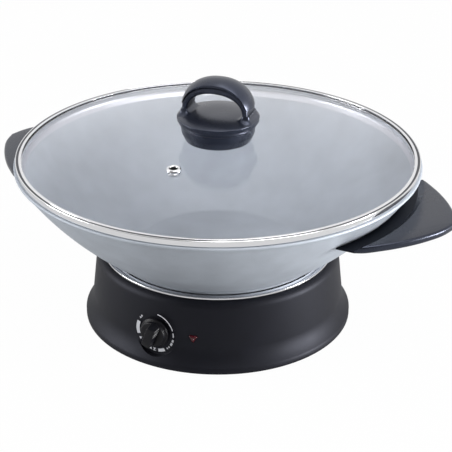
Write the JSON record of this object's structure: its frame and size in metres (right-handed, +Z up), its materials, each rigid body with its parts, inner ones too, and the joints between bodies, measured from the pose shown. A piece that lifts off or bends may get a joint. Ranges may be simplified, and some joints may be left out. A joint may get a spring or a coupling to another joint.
{
  "type": "electric wok",
  "caption": "Electric wok: a heated round base with a thermostat dial, a loose two-handled wok on it, and a domed glass lid with a steel ring and an arched knob.",
  "frame": {"origin": "on the table, at the middle of the whole object's box seen from above, which is the axis of the base, the wok and the lid", "axes": "+Z up; -Y is the front, where the dial is; the wok's two handles point along +X and -X"},
  "size_m": [0.4358, 0.358, 0.2248],
  "materials": {
    "wok_coating": "cast aluminium with a satin grey coating",
    "polished_steel": "polished stainless steel",
    "steel": "plain steel",
    "shell_plastic": "black moulded plastic, satin",
    "phenolic": "dark phenolic moulding, satin",
    "rubber": "matt black rubber",
    "glass": "clear tempered glass",
    "aluminium": "cast and drawn aluminium",
    "brass": "turned and pressed brass",
    "copper": "drawn copper",
    "silicone": "translucent white silicone",
    "red_lens": "clear dark-red plastic",
    "cream_plastic": "heat-resistant cream plastic",
    "lead_brown": "brown insulation",
    "lead_blue": "blue insulation",
    "lead_green": "green and yellow insulation"
  },
  "bodies": {
    "base": {"base_shell": "shell_plastic", "bottom_cover": "shell_plastic", "capillary": "copper", "cover_screw_1": "steel", "cover_screw_2": "steel", "cover_screw_3": "steel", "dish_screw_1": "steel", "dish_screw_2": "steel", "dish_screw_3": "steel", "element_pin_left": "steel", "element_pin_right": "steel", "foot_back_left": "rubber", "foot_back_right": "rubber", "foot_front_left": "rubber", "foot_front_right": "rubber", "heating_element": "steel", "hot_plate": "aluminium", "inlet_blade_earth": "brass", "inlet_blade_live": "brass", "inlet_blade_neutral": "brass", "inlet_socket": "shell_plastic", "lamp_holder": "cream_plastic", "lamp_lead_live": "lead_brown", "lamp_lead_neutral": "lead_blue", "lamp_lens": "red_lens", "lead_earth": "lead_green", "lead_live": "lead_brown", "lead_neutral": "lead_blue", "lead_switched": "lead_brown", "neon_lamp": "glass", "plate_bolt_1": "steel", "plate_bolt_2": "steel", "plate_bolt_3": "steel", "reflector_dish": "polished_steel", "sensor_bulb": "copper", "sensor_strap": "steel", "thermal_fuse": "aluminium", "thermostat": "cream_plastic", "thermostat_nut": "brass"},
    "dial": {"dial_knob": "phenolic", "dial_shaft": "aluminium"},
    "wok": {"wok_bowl": "wok_coating", "handle_left": "phenolic", "handle_right": "phenolic", "handle_bracket_left": "steel", "handle_bracket_right": "steel", "handle_screw_left_1": "steel", "handle_screw_left_2": "steel", "handle_screw_right_1": "steel", "handle_screw_right_2": "steel"},
    "lid": {"lid_ring": "polished_steel", "lid_glass": "glass", "vent_eyelet": "polished_steel", "knob_skirt": "phenolic", "knob_body": "phenolic", "knob_cap": "phenolic", "knob_insert": "brass", "knob_seal": "silicone", "knob_washer": "steel", "knob_screw": "steel"}
  },
  "joints": [
    {"name": "dial_turn", "type": "hinge", "parent": "base", "child": "dial", "pos_m": [0, -0.11322, 0.0311], "axis": [0, 1, 0], "range_deg": [0, 280]},
    {"name": "wok_lift", "type": "slide", "parent": "base", "child": "wok", "axis": [0, 0, 1], "range_m": [0, 0.12]},
    {"name": "lid_lift", "type": "slide", "parent": "wok", "child": "lid", "axis": [0, 0, 1], "range_m": [0, 0.15]}
  ]
}
